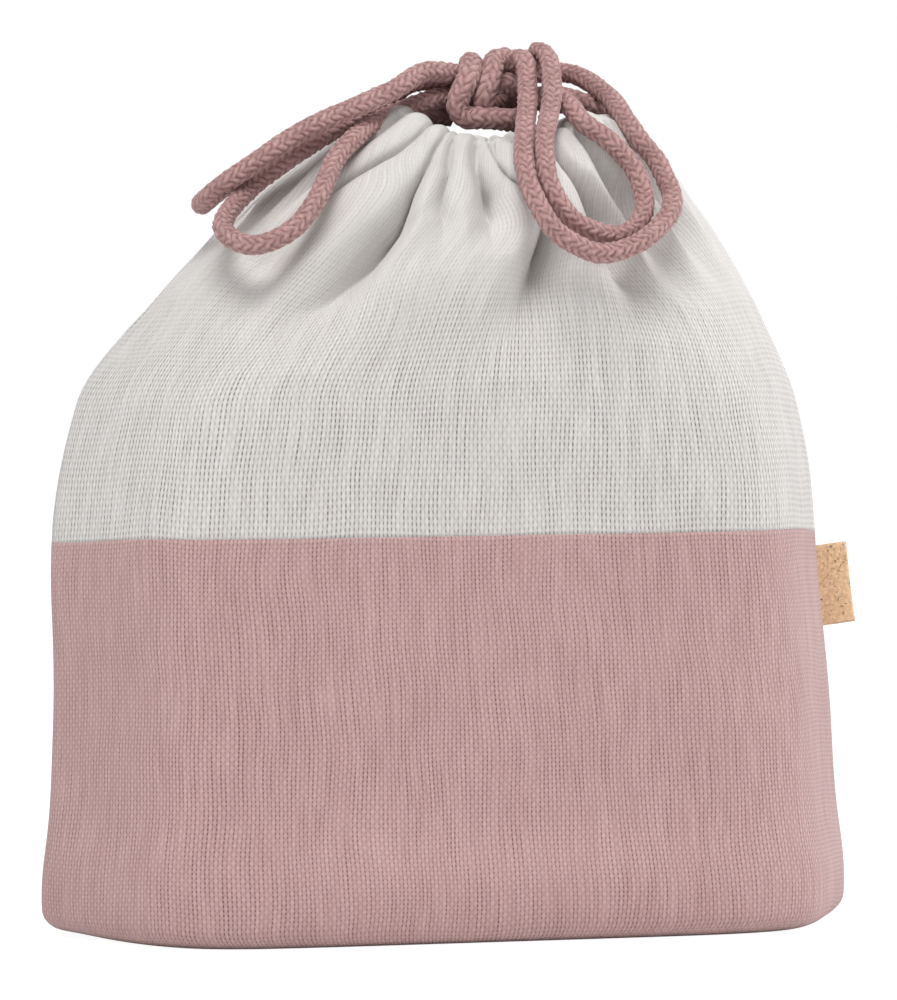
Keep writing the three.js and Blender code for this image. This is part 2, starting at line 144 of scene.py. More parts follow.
# Main creases of the front and beside the left seam. Each leans over from its left (+) or right (-)
# ridge, and has points from the mouth down: turn in degrees, height, depth, reach to its ridges' tops
FRONT_CREASES = [
    (0, [(-170, 245, 2.2, 5), (-166, 226, 5, 8), (-160, 195, 0, 16)]),
    (0.1, [(-149, 245, 3, 4.4), (-150, 238, 4.8, 5), (-152, 233, 6, 5.6), (-155, 228, 7, 6.4),
           (-157, 222, 6, 7), (-158, 212, 4, 9), (-156, 190, 0, 16)]),
    (0.2, [(-137, 245, 3.5, 3.9), (-137, 239.6, 4.7, 4.2), (-138, 235.5, 6.2, 4.6),
           (-142, 230, 8.5, 5.5), (-146, 223.5, 9, 6.5), (-148, 217.5, 9, 8), (-148, 209, 7.5, 10.5),
           (-146, 199, 5, 14), (-142, 180, 0, 19)]),
    (0.25, [(-127.3, 245, 3.2, 3.6), (-127, 238.5, 5, 3.9), (-125.3, 233, 7.5, 4.8), (-125, 230, 11, 6),
            (-125, 226.5, 15, 7.6), (-124, 221, 18, 9.5), (-123, 215, 17.5, 11.5),
            (-123.5, 207, 15.5, 13), (-125, 199.5, 13, 15), (-125.5, 192, 10, 18), (-125.5, 184, 5, 22),
            (-125.5, 168, 0, 28)]),
    (-0.1, [(-122.5, 245, 3, 3.6), (-120.8, 239, 4.5, 3.9), (-117.7, 235, 6, 4.2),
            (-115, 230.4, 7.5, 4.7), (-113.8, 226.5, 8.5, 5.4), (-112, 222, 8.5, 7),
            (-108.3, 214.6, 5.5, 10), (-104.5, 198, 0, 15)]),
    (0, [(-113, 245, 3.5, 3.6), (-111.5, 240.5, 5.5, 4), (-109.5, 237.5, 7, 4.4), (-106.5, 233.5, 9, 5),
         (-103.5, 230, 12, 5.8), (-100.5, 226, 15, 7), (-98.5, 221, 12, 8.5), (-97, 216, 7, 10),
         (-95.7, 203, 0, 14)]),
    (0.3, [(-107.7, 245, 2.7, 3.4), (-106.4, 240.6, 4, 3.7), (-101.7, 236, 5.5, 4), (-97.4, 232, 8, 4.8),
           (-93, 228.8, 10.5, 5.6), (-89, 226, 14, 7), (-86, 221.6, 17, 9), (-84, 214, 18, 11),
           (-84.5, 206, 16.5, 13), (-85, 197.6, 13.5, 15), (-85, 189, 9, 18), (-85, 180, 4, 22),
           (-85, 166, 0, 27)]),
    (0, [(-105, 245, 2.4, 3.4), (-102.3, 239.4, 3.3, 3.7), (-99.8, 236, 2, 4.4), (-97, 231, 0, 5.6)]),
    (0.15, [(-95.5, 245, 2.7, 3.7), (-93, 240, 4.5, 4.2), (-91, 236, 4, 5), (-89, 231, 0, 6)]),
    (0.2, [(-82, 245, 3, 3.7), (-80, 240, 6, 4.4), (-78, 236.5, 8, 5), (-75, 232, 12.5, 6.2),
           (-72, 227, 17.5, 8), (-69.5, 220, 20, 10), (-67.5, 211.6, 18, 11.5), (-66, 205, 14.5, 12),
           (-65, 196.4, 9, 13), (-64, 188, 4, 15), (-64, 176, 0, 18)]),
    (0, [(-66, 245, 3, 3.9), (-64, 240, 6.5, 4.6), (-61.5, 235.5, 11, 5.6), (-59, 230, 16, 7.4),
         (-56, 224, 19, 9.5), (-54, 217, 16, 11), (-53, 208, 9, 12.5), (-53, 186, 0, 17)]),
    (0, [(-48, 245, 2.7, 4.2), (-45, 238, 6.5, 5), (-42.5, 231, 12, 6.6), (-40, 222, 14, 9),
         (-38, 213, 10, 11.5), (-36, 188, 0, 16)]),
    (0, [(-30, 245, 2.7, 4.4), (-26, 230, 5, 7), (-22, 214, 5, 12), (-20, 188, 0, 18)]),
    (0, [(-14, 245, 2.2, 5), (-10, 228, 4.5, 9.5), (-10, 212, 2.2, 15), (-9, 200, 1.2, 17),
         (-8, 186, 0, 18)]),
    (0, [(170, 245, 2.2, 6), (168, 228, 3, 9), (168, 206, 3.5, 16), (168, 196, 2, 19), (168, 180, 0, 22)]),
]
BACK_CREASES = 17


def back_creases():
    """Creases of the back, spaced evenly with a steady wobble in place, depth and length."""
    lines = []
    for i in range(BACK_CREASES):
        wobble = math.sin(2.4 * i + 1)
        other = math.sin(1.7 * i * i + 0.5)
        turn = (i + 0.5) * 180 / BACK_CREASES + 2.5 * wobble
        drift = 8 * other
        end = 196 + 10 * wobble - 6 * other
        deep = 6.0 + 2.0 * other
        line = [(turn, MOUTH, 3.0, 4.2),
                (turn + 0.4 * drift, 232, 0.8 * deep, 5.4),
                (turn + 0.8 * drift, 220, deep, 8.0),
                (turn + drift, 0.4 * 220 + 0.6 * end, 0.5 * deep, 14),
                (turn + drift, end - 10, 0, 19)]
        lines.append((0.4 * wobble, line))
    return lines


# A crease is a nick up to the first reach and a soft valley from the second on
NICK_REACH, VALLEY_REACH = 6.0, 15.0
# Share of a quarter circle in a nick's walls, which keeps them a little off upright
NICK_WALL = 0.98


def creases(turn, height, arc):
    """Creases below the puffed cloth, as depth and as a slide round the bag. d is the distance round
    the bag from a crease in millimetres, from arc, the millimetres in a radian, and t = d / reach. A
    short reach gives a nick between two round ridges, 1 - sqrt(1 - (1 - t)^2), and a long one a soft
    valley, cos^2. The deepest crease rules, as the cube root of the sum of their cubes. The ridge
    beside a leaning crease slides over it."""
    total, slide = np.zeros_like(height), np.zeros_like(height)
    for lean_over, line in FRONT_CREASES + back_creases():
        place, level, deep, far = np.array(line, float)[::-1].T
        middle = np.radians(smooth_through(level, place)(height))
        away = (turn - middle + math.pi) % (2 * math.pi) - math.pi
        reach = smooth_through(level, far)(height)
        share = away * arc / reach
        near = NICK_WALL * (1 - np.clip(np.abs(share), 0, 1))
        soft = smoothstep(NICK_REACH, VALLEY_REACH, reach)
        profile = (1 - soft) * (1 - np.sqrt(1 - near ** 2)) + soft * np.sin(math.pi / 2 * near) ** 2
        drop = smooth_through(level, deep)(height)
        total += (drop * profile) ** 3
        ridge = 2 * share + math.copysign(1, lean_over)
        slide += lean_over * drop * np.exp(-ridge ** 2)
    return np.cbrt(total), slide


PLEATS = 41
PLEAT = 0.35
PLEATS_FROM, PLEATS_WHOLE = 216.0, 240.0
CRINKLE = 0.055
CRINKLE_WAVES = 9


def pleats(turn, height):
    """Small pleats drawn up by the cord: a cosine round the mouth with a wandering phase."""
    phase = PLEATS * turn + 1.6 * np.sin(5 * turn + 1) + 1.1 * np.sin(9 * turn)
    swell = 0.65 + 0.35 * np.sin(7 * turn + 2)
    return PLEAT * swell * np.cos(phase) * smoothstep(PLEATS_FROM, PLEATS_WHOLE, height)


def crinkle(u, v):
    """Slight unevenness of worn linen: sine waves 17 to 53 mm long, each on a heading of its own
    across the flat cloth, longer up it than across."""
    total = 0
    for i in range(CRINKLE_WAVES):
        heading = 2.4 * i
        number = 2 * math.pi / (17 + 9 * (i % 5))
        ahead = u * math.cos(heading) + 0.6 * v * math.sin(heading)
        total = total + np.sin(number * ahead + 1.3 * i * i)
    return CRINKLE * total


def grid_normals(points):
    """Unit normals of a grid of points (rows up, columns anticlockwise), from its own tangents."""
    up = np.gradient(points, axis=0)
    round_bag = np.gradient(points, axis=1)
    normal = np.cross(round_bag, up)
    return normal / np.linalg.norm(normal, axis=-1, keepdims=True)


def run_length(points, axis):
    """Distance along a grid's rows or columns, starting at zero."""
    step = np.linalg.norm(np.diff(points, axis=axis), axis=-1)
    first = np.zeros_like(np.take(step, [0], axis=axis))
    return np.concatenate([first, np.cumsum(step, axis=axis)], axis=axis)


def piece(name, points, weave=None, closed=False, caps=(), material=None, body="bag", nodes=()):
    """Mesh from a grid of points in millimetres. closed joins the last column to the first, caps are
    the end rows that a face closes, and weave gives each point its place on the flat cloth in
    millimetres, and how far it is drawn up. A piece with no body is left unattached."""
    rows, columns = points.shape[:2]
    index = np.arange(rows * columns).reshape(rows, columns)
    right = np.roll(index, -1, axis=1) if closed else index[:, 1:]
    left = index if closed else index[:, :-1]
    quads = np.stack([left[:-1], right[:-1], right[1:], left[1:]], axis=-1).reshape(-1, 4)
    mesh = bpy.data.meshes.new(name)
    mesh.vertices.add(rows * columns)
    mesh.vertices.foreach_set("co", (points * MM).astype(np.float32).ravel())
    ends = [index[row][::-1] if row == 0 else index[row] for row in caps]
    corners = np.concatenate([quads.ravel(), *ends]).astype(np.int32)
    starts = np.concatenate([np.arange(0, quads.size, 4), quads.size + columns * np.arange(len(ends))])
    mesh.loops.add(len(corners))
    mesh.loops.foreach_set("vertex_index", corners)
    mesh.polygons.add(len(starts))
    mesh.polygons.foreach_set("loop_start", starts.astype(np.int32))
    mesh.polygons.foreach_set("use_smooth", np.ones(len(starts), dtype=bool))
    if weave is not None:
        attribute = mesh.attributes.new("weave_mm", "FLOAT_VECTOR", "POINT")
        attribute.data.foreach_set("vector", weave.astype(np.float32).ravel())
    mesh.update()
    mesh.validate()
    made = bpy.data.objects.new(name, mesh)
    bpy.context.scene.collection.objects.link(made)
    made.data.materials.append(material)
    if body:
        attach(made, body)
    if nodes:
        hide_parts(*nodes)
    return made


def thicken(made, thickness=CLOTH):
    """Gives a sheet its thickness, inwards."""
    wall = made.modifiers.new("thickness", "SOLIDIFY")
    wall.thickness = thickness * MM
    wall.offset = -1
    wall.use_even_offset = False


# Shader nodes

def paint(code):
    """sRGB hex to linear colour."""
    channels = [int(code[i:i + 2], 16) / 255 for i in (0, 2, 4)]
    linear = [c / 12.92 if c <= 0.04045 else ((c + 0.055) / 1.055) ** 2.4 for c in channels]
    return (*linear, 1.0)


def add(tree, kind, inputs=(), **settings):
    """A shader node with its settings. An input takes a value, a socket, or a node's first output."""
    made = tree.nodes.new(kind)
    for name, value in settings.items():
        setattr(made, name, value)
    for name, value in dict(inputs).items():
        if isinstance(value, bpy.types.Node):
            value = value.outputs[0]
        if isinstance(value, bpy.types.NodeSocket):
            tree.links.new(value, made.inputs[name])
        else:
            made.inputs[name].default_value = value
    return made


def new_material(name):
    """A material with its node tree and its shader."""
    made = bpy.data.materials.new(name)
    made.use_nodes = True
    return made, made.node_tree, made.node_tree.nodes["Principled BSDF"]


def linen(name, pale, mid, gap_shade, warp, weft, open_rows):
    """Plain-woven linen blend, piece-dyed and unpressed: matt, full warp threads side by side over a
    thinner weft, with a small hole between each two threads of both, painted dark as shade. Warp and
    weft are thread spacings in millimetres, a thread is a rounded ridge |sin|, and threads sway by a
    millimetre or so over 25. A hole is where both ridges are low, gap * row, and painted shade darkens
    the gaps and holes. open_rows sets how long a hole is, and a gap stays open or shut for a long run.
    Where the cloth is drawn up the holes close, and only the painted shade lines of the warp are left.
    Floats that stand on top get a painted highlight, and the sunken ones painted shade."""
    material, tree, shader = new_material(name)
    cloth = add(tree, "ShaderNodeAttribute", attribute_name="weave_mm")
    sway = add(tree, "ShaderNodeTexNoise", {"Vector": cloth.outputs["Vector"], "Scale": 0.04, "Detail": 0.0})
    shift = add(tree, "ShaderNodeVectorMath", {0: sway.outputs["Color"], 1: (0.5, 0.5, 0.5)},
                operation="SUBTRACT")
    moved = add(tree, "ShaderNodeVectorMath", {0: shift, 1: (2.5, 2.5, 0), 2: cloth.outputs["Vector"]},
                operation="MULTIPLY_ADD")
    flat = add(tree, "ShaderNodeSeparateXYZ", {0: moved})
    flatness = add(tree, "ShaderNodeMath", {0: 1.0, 1: flat.outputs["Z"]}, operation="SUBTRACT")
    waves, ridges = [], []
    for axis, spacing in (("X", warp), ("Y", weft)):
        count = add(tree, "ShaderNodeMath", {0: flat.outputs[axis], 1: math.pi / spacing},
                    operation="MULTIPLY")
        waves.append(add(tree, "ShaderNodeMath", {0: count}, operation="SINE"))
        ridges.append(add(tree, "ShaderNodeMath", {0: waves[-1]}, operation="ABSOLUTE"))
    run = add(tree, "ShaderNodeMath", {0: flat.outputs["Y"], 1: 0.03}, operation="MULTIPLY")
    noises = []
    for offset in (0.0, 0.5):
        thread = add(tree, "ShaderNodeMath", {0: flat.outputs["X"], 1: 1 / warp, 2: offset},
                     operation="MULTIPLY_ADD")
        number = add(tree, "ShaderNodeMath", {0: thread}, operation="FLOOR")
        place = add(tree, "ShaderNodeCombineXYZ", {0: number, 1: run, 2: 7 * offset})
        noises.append(add(tree, "ShaderNodeTexNoise", {"Vector": place, "Scale": 1.7, "Detail": 3.0}))
    slub, openness = noises
    # Painted shade: gap, row and hole find the low places between the threads, and dark mixes the dark gap
    # colour in there, widened or narrowed at random by openness.
    falling = {"To Min": 1.0, "To Max": 0.0}
    gap = add(tree, "ShaderNodeMapRange", {"Value": ridges[0], "From Min": 0.1, "From Max": 0.8, **falling},
              interpolation_type="SMOOTHSTEP")
    row = add(tree, "ShaderNodeMapRange", {"Value": ridges[1], "From Min": open_rows, "From Max": 1.0,
                                           **falling}, interpolation_type="SMOOTHSTEP")
    hole = add(tree, "ShaderNodeMath", {0: row, 1: flatness}, operation="MULTIPLY")
    wide = add(tree, "ShaderNodeMapRange", {"Value": openness, "From Min": 0.32, "From Max": 0.68,
                                            "To Min": 0.3, "To Max": 1.1})
    line = add(tree, "ShaderNodeMath", {0: flatness, 1: 0.2, 2: 0.1}, operation="MULTIPLY_ADD")
    deep = add(tree, "ShaderNodeMath", {0: hole, 1: 0.7, 2: line}, operation="MULTIPLY_ADD")
    dark = add(tree, "ShaderNodeMath", {0: gap, 1: deep}, operation="MULTIPLY")
    dark = add(tree, "ShaderNodeMath", {0: dark, 1: wide}, operation="MULTIPLY")
    # Painted highlight and shade: bead lightens the floats that stand on top and darkens the sunken ones, as
    # the bump raises and lowers them.
    over = add(tree, "ShaderNodeMath", {0: waves[0], 1: waves[1]}, operation="MULTIPLY")
    bead = add(tree, "ShaderNodeMath", {0: over, 1: flatness}, operation="MULTIPLY")
    tone = add(tree, "ShaderNodeTexNoise", {"Vector": cloth.outputs["Vector"], "Scale": 0.05, "Detail": 4.0})
    blend = add(tree, "ShaderNodeMath", {0: tone, 1: 0.35, 2: slub}, operation="MULTIPLY_ADD")
    float_light_and_tone = add(tree, "ShaderNodeMath", {0: bead, 1: 0.2, 2: blend}, operation="MULTIPLY_ADD")
    spread = add(tree, "ShaderNodeMapRange", {"Value": float_light_and_tone, "From Min": 0.35, "From Max": 1.0})
    yarn = add(tree, "ShaderNodeMix", {0: spread, 6: paint(mid), 7: paint(pale)}, data_type="RGBA")
    colour = add(tree, "ShaderNodeMix", {0: dark, 6: yarn.outputs[2], 7: paint(gap_shade)}, data_type="RGBA")
    raised = add(tree, "ShaderNodeMath", {0: bead, 1: 0.3, 2: slub}, operation="MULTIPLY_ADD")
    height = add(tree, "ShaderNodeMath", {0: raised, 1: dark}, operation="SUBTRACT")
    relief = add(tree, "ShaderNodeBump", {"Height": height, "Strength": 0.6, "Distance": 0.3 * MM})
    tree.links.new(colour.outputs[2], shader.inputs["Base Color"])
    tree.links.new(relief.outputs[0], shader.inputs["Normal"])
    shader.inputs["Roughness"].default_value = 0.92
    shader.inputs["Specular IOR Level"].default_value = 0.25
    shader.inputs["Sheen Weight"].default_value = 0.2
    shader.inputs["Sheen Roughness"].default_value = 0.5
    return material


# Noise cells in a millimetre: fuzz of the braid, grains and flecks of the cork, slubs of the tape
FUZZ, CORK_GRAINS, CORK_FLECKS, TAPE_SLUBS = 0.9, 1.3, 1.1, 0.3
YARN_HAIRS = 5
TAPE_RIB = 0.9


def braided_yarn():
    """Cotton braid, loosely spun yarn: matt and slightly fuzzy, darker down between the plaits by painted
    shade.
    The plait attribute carries how high a point stands on its plait and its place across the yarn,
    where the yarn's hairs are sine ridges."""
    material, tree, shader = new_material("braided_cotton")
    plait = add(tree, "ShaderNodeAttribute", attribute_name="plait")
    parts = add(tree, "ShaderNodeSeparateXYZ", {0: plait.outputs["Vector"]})
    where = add(tree, "ShaderNodeTexCoord")
    fuzz = add(tree, "ShaderNodeTexNoise", {"Vector": where.outputs["Object"], "Scale": FUZZ / MM,
                                            "Detail": 4.0})
    hair = add(tree, "ShaderNodeMath", {0: parts.outputs["Y"], 1: YARN_HAIRS * 2 * math.pi},
               operation="MULTIPLY")
    strand = add(tree, "ShaderNodeMath", {0: hair}, operation="SINE")
    height = add(tree, "ShaderNodeMath", {0: strand, 1: 0.12, 2: fuzz}, operation="MULTIPLY_ADD")
    # Painted shade: the colour darkens towards the dark brown down between the plaits, by how high a point
    # stands on its plait, and fuzz breaks it up.
    plait_shade_and_fuzz = add(tree, "ShaderNodeMath", {0: fuzz, 1: 0.5, 2: parts.outputs["X"]}, operation="MULTIPLY_ADD")
    shade = add(tree, "ShaderNodeMapRange", {"Value": plait_shade_and_fuzz, "From Min": 0.3, "From Max": 1.15})
    yarn = add(tree, "ShaderNodeMix", {0: fuzz, 6: paint("a88280"), 7: paint("c9a5a2")}, data_type="RGBA")
    colour = add(tree, "ShaderNodeMix", {0: shade, 6: paint("75524f"), 7: yarn.outputs[2]}, data_type="RGBA")
    relief = add(tree, "ShaderNodeBump", {"Height": height, "Strength": 0.5, "Distance": 0.25 * MM})
    tree.links.new(colour.outputs[2], shader.inputs["Base Color"])
    tree.links.new(relief.outputs[0], shader.inputs["Normal"])
    shader.inputs["Roughness"].default_value = 0.95
    shader.inputs["Specular IOR Level"].default_value = 0.2
    shader.inputs["Sheen Weight"].default_value = 0.15
    return material


def cork_cloth():
    """Thin cork veneer on cloth: pale tan grains under a millimetre wide, with dark flecks on them."""
    material, tree, shader = new_material("cork_cloth")
    where = add(tree, "ShaderNodeTexCoord")
    grain = add(tree, "ShaderNodeTexVoronoi", {"Vector": where.outputs["Object"], "Scale": CORK_GRAINS / MM})
    fleck = add(tree, "ShaderNodeTexNoise", {"Vector": where.outputs["Object"], "Scale": CORK_FLECKS / MM,
                                             "Detail": 5.0})
    light = add(tree, "ShaderNodeMix", {0: grain.outputs["Color"], 6: paint("c9a079"), 7: paint("ecc9a4")},
                data_type="RGBA")
    dark = add(tree, "ShaderNodeMapRange", {"Value": fleck, "From Min": 0.6, "From Max": 0.7})
    colour = add(tree, "ShaderNodeMix", {0: dark, 6: light.outputs[2], 7: paint("6b5040")}, data_type="RGBA")
    relief = add(tree, "ShaderNodeBump", {"Height": fleck, "Strength": 0.4, "Distance": 0.2 * MM})
    tree.links.new(colour.outputs[2], shader.inputs["Base Color"])
    tree.links.new(relief.outputs[0], shader.inputs["Normal"])
    shader.inputs["Roughness"].default_value = 0.75
    return material


def cotton_tape():
    """Woven cotton binding tape, unbleached: matt, with fine ribs both ways. The tape's solids carry no
    place on a flat cloth, so its ribs |sin| are spaced in the bag's own frame, up it and round it."""
    material, tree, shader = new_material("cotton_tape")
    where = add(tree, "ShaderNodeTexCoord")
    place = add(tree, "ShaderNodeSeparateXYZ", {0: where.outputs["Object"]})
    along = add(tree, "ShaderNodeMath", {0: place.outputs["X"], 1: place.outputs["Y"]}, operation="ADD")
    ridges = []
    for way in (along.outputs[0], place.outputs["Z"]):
        count = add(tree, "ShaderNodeMath", {0: way, 1: math.pi / (TAPE_RIB * MM)}, operation="MULTIPLY")
        wave = add(tree, "ShaderNodeMath", {0: count}, operation="SINE")
        ridges.append(add(tree, "ShaderNodeMath", {0: wave}, operation="ABSOLUTE"))
    weave = add(tree, "ShaderNodeMath", {0: ridges[0], 1: ridges[1]}, operation="MULTIPLY")
    slub = add(tree, "ShaderNodeTexNoise", {"Vector": where.outputs["Object"], "Scale": TAPE_SLUBS / MM,
                                            "Detail": 4.0})
    height = add(tree, "ShaderNodeMath", {0: slub, 1: 0.6, 2: weave}, operation="MULTIPLY_ADD")
    # Painted shade: the colour darkens down between the ribs, by their height, and the slubs vary its tone.
    shade = add(tree, "ShaderNodeMapRange", {"Value": height, "From Min": 0.3, "From Max": 1.2})
    colour = add(tree, "ShaderNodeMix", {0: shade, 6: paint("b0a9a2"), 7: paint("e2dcd5")}, data_type="RGBA")
    relief = add(tree, "ShaderNodeBump", {"Height": height, "Strength": 0.5, "Distance": 0.2 * MM})
    tree.links.new(colour.outputs[2], shader.inputs["Base Color"])
    tree.links.new(relief.outputs[0], shader.inputs["Normal"])
    shader.inputs["Roughness"].default_value = 0.92
    shader.inputs["Specular IOR Level"].default_value = 0.25
    return material


# The third colour of each linen is the painted shade in the gaps and holes between its threads.
PINK = linen("pink_linen", "c5a5a3", "b3918f", "6f4e4d", 1.2, 1.3, 0.3)
NATURAL = linen("natural_linen", "dad7d4", "cac6c3", "736e6b", 1.3, 1.8, 0.5)
TAPE = cotton_tape()
BRAID = braided_yarn()
CORK = cork_cloth()

# Cloth panels

SIDE_COLUMNS = 320
CROWDING = 0.28
EVEN_TURNS = np.linspace(-math.pi, math.pi, 2 * SIDE_COLUMNS + 1)
# Columns lie closest together in the middle of the front and of the back, where the creases are
TURNS = EVEN_TURNS + CROWDING * np.sin(2 * EVEN_TURNS)
FRONT = slice(0, SIDE_COLUMNS + 1)
BACK = slice(SIDE_COLUMNS, 2 * SIDE_COLUMNS + 1)
WAIST_LINE = WAIST - WAIST_DROOP * np.cos(TURNS) ** 8
FLAT_ACROSS = run_length(bag_surface(TURNS, np.full_like(TURNS, WAIST)), 0)
UPPER_ROWS, OUTER_ROWS, RIM_ROWS, INNER_ROWS = 148, 13, 25, 11
ROW_CROWDING = 0.45
RIM_BEND = 4.2
RIM_RADIUS = CASING_DEPTH / 2
INNER_WALL = 11.0
INNER_FOLDS = 0.35
SEAM_HOLD = 6.0
PUFF = 3.0
PUFF_FROM, PUFF_WHOLE = 173.0, 225.0
DRAWN_UP = 0.8
DRAWN_FROM, DRAWN_WHOLE = 165.0, 215.0
EVENING_ROUNDS = 60


def spread_threads(points):
    """Place of each point across the flat cloth: the cloth's width, shared out evenly along each
    folded row from seam to seam, and evened out from row to row."""
    halves = []
    for side in (FRONT, BACK):
        run = run_length(points[:, side], 1)
        low, high = FLAT_ACROSS[side.start], FLAT_ACROSS[side.stop - 1]
        halves.append(low + (high - low) * run / run[:, -1:])
    spread = np.concatenate([halves[0], halves[1][:, 1:]], axis=1)
    for _ in range(EVENING_ROUNDS):
        spread[1:-1] = (spread[:-2] + spread[1:-1] + spread[2:]) / 3
    return spread


def drawn_cloth():
    """The whole gathered top as one grid: up from the two-tone join, in rows that lie closer together
    towards the top, over the casing's rim as half a circle and down its inner wall. Puff, pleats and
    creases then move it along its normals, and leaning ridges slide round the bag. Returns the points
    and their place on the flat cloth."""
    share = np.linspace(0, 1, UPPER_ROWS)[:, None]
    climb = share * (1 + ROW_CROWDING - ROW_CROWDING * share)
    upper = WAIST_LINE[None] + climb * (CASING_FOOT - WAIST_LINE[None])
    bend = MOUTH - RIM_BEND
    outer = np.linspace(CASING_FOOT, bend, OUTER_ROWS + 1)[1:, None] + 0 * TURNS[None]
    heights = np.concatenate([upper, outer])
    turns = np.broadcast_to(TURNS, heights.shape)
    wall = bag_surface(turns, heights)
    rim = bag_surface(TURNS, np.full_like(TURNS, MOUTH))
    slope = rim - wall[-1]
    slope /= np.linalg.norm(slope, axis=-1, keepdims=True)
    ahead = np.gradient(wall[-1], axis=0)
    out = np.cross(ahead, slope)
    out /= np.linalg.norm(out, axis=-1, keepdims=True)
    arc = np.linspace(0, math.pi, RIM_ROWS + 1)[1:, None, None]
    over = wall[-1] + RIM_RADIUS * (np.sin(arc) * slope - (1 - np.cos(arc)) * out)
    down = over[-1] - np.linspace(0, INNER_WALL, INNER_ROWS + 1)[1:, None, None] * slope
    points = np.concatenate([wall, over, down])
    level = np.concatenate([heights, np.full((RIM_ROWS + INNER_ROWS, len(TURNS)), MOUTH)])
    fade = np.concatenate([np.ones(len(wall)), np.linspace(1, INNER_FOLDS, RIM_ROWS),
                           np.full(INNER_ROWS, INNER_FOLDS)])
    turns = np.broadcast_to(TURNS, level.shape)
    ahead = np.gradient(points, axis=1)
    speed = np.linalg.norm(ahead, axis=-1)
    valley, slide = creases(turns, level, speed / np.gradient(TURNS))
    u = np.broadcast_to(FLAT_ACROSS, level.shape)
    v = run_length(points, 0)
    puff = PUFF * smoothstep(PUFF_FROM, PUFF_WHOLE, level)
    lift = (puff + pleats(turns, level) - valley) * fade[:, None] + crinkle(u, v)
    hold = smoothstep(0, SEAM_HOLD, v)
    shift = (slide * fade[:, None] * hold / speed)[..., None] * ahead
    points = points + (lift * hold)[..., None] * grid_normals(points) + shift
    drawn_up = DRAWN_UP * smoothstep(DRAWN_FROM, DRAWN_WHOLE, level)
    return points, np.stack([spread_threads(points), v, drawn_up], axis=-1)


DRAWN, DRAWN_WEAVE = drawn_cloth()
CASING_ROW = UPPER_ROWS - 1
# The upper cloth and the casing lap over each other at the casing's foot, and cross there without a step
OVERLAP = 4
TUCK = np.linspace(0, 0.3, 2 * OVERLAP + 1)


def upper_panel(name, side, node):
    """Gathered natural cloth from the two-tone join up into the foot of the casing."""
    rows = slice(0, CASING_ROW + OVERLAP + 1)
    points = DRAWN[rows, side].copy()
    lapped = slice(-2 * OVERLAP - 1, None)
    points[lapped] -= TUCK[:, None, None] * grid_normals(points)[lapped]
    made = piece(name, points, DRAWN_WEAVE[rows, side], material=NATURAL,
                 nodes=[node])
    thicken(made)


def casing(name, side, node):
    """Cloth tube of the drawstring, from its foot over the rim and down inside, short of the seams."""
    turns = TURNS[side]
    gap = math.asin(EXIT_GAP / DEPTHS[-1])
    kept = np.abs(np.abs(turns) - math.pi / 2) < math.pi / 2 - gap
    columns = np.nonzero(kept)[0] + side.start
    rows = slice(CASING_ROW - OVERLAP, None)
    points = DRAWN[rows, columns].copy()
    lapped = slice(0, 2 * OVERLAP + 1)
    points[lapped] -= TUCK[::-1, None, None] * grid_normals(points)[lapped]
    made = piece(name, points, DRAWN_WEAVE[rows, columns], material=NATURAL,
                 nodes=[node])
    thicken(made)


upper_panel("front_upper_cloth", FRONT, "front_upper_panel")
upper_panel("back_upper_cloth", BACK, "back_upper_panel")
casing("front_casing_cloth", FRONT, "front_casing")
casing("back_casing_cloth", BACK, "back_casing")

SEAM_LIFT = 1.6
SEAM_LIFT_TOP = 24.0
FOOT_ROWS, WALL_ROWS, BASE_ROWS = 13, 96, 30
SLUMP_HEIGHT, SLUMP_SPREAD = 16.0, 15.0
JOIN_HOLD, FOOT_HOLD = 8.0, 14.0
BASE_CLEARANCE = 0.05
BASE_HUB = 0.02


def seam_lift(turns):
    """Rise of the foot at the left seam, which stands a little off the floor: a high power of the cosine."""
    return SEAM_LIFT * np.minimum(np.cos(turns), 0) ** 16


def lower_panel(name, side, node):
    """Pink cloth: rounded in under the base, then up the walls of the box inside to the join. It
    slumps out a little just above the floor, and the left seam lifts its end off it."""
    turns = TURNS[side]
    waist = WAIST_LINE[side]
    arc = np.linspace(0, math.pi / 2, FOOT_ROWS + 1)[:-1, None]
    grid = (FOOT_ROWS, len(turns))
    inset = BASE_ROUND * (1 - np.sin(arc))
    foot = bag_surface(np.broadcast_to(turns, grid), np.full(grid, BASE_ROUND), inset)
    foot[..., 2] = BASE_ROUND * (1 - np.cos(arc))
    share = np.linspace(0, 1, WALL_ROWS)[:, None]
    heights = BASE_ROUND + share * (waist[None] - BASE_ROUND)
    wall = bag_surface(np.broadcast_to(turns, heights.shape), heights)
    points = np.concatenate([foot, wall])
    u = np.broadcast_to(FLAT_ACROSS[side], points.shape[:2])
    v = run_length(points, 0)
    v = v - v[-1]
    edge = smoothstep(0, JOIN_HOLD, -v) * smoothstep(0, FOOT_HOLD, v - v[0])
    low = points[..., 2]
    slump = np.exp(-((low - SLUMP_HEIGHT) / SLUMP_SPREAD) ** 2) * (1.2 + 1.6 * np.sin(turns) ** 4)
    lift = (crinkle(u, v) + slump) * edge
    points = points + lift[..., None] * grid_normals(points)
    points[..., 2] += seam_lift(turns) * (1 - smoothstep(0, SEAM_LIFT_TOP, low))
    made = piece(name, points, np.stack([u, v, 0 * v], axis=-1), material=PINK,
                 nodes=[node])
    thicken(made)


lower_panel("front_lower_cloth", FRONT, "front_lower_panel")
lower_panel("back_lower_cloth", BACK, "back_lower_panel")


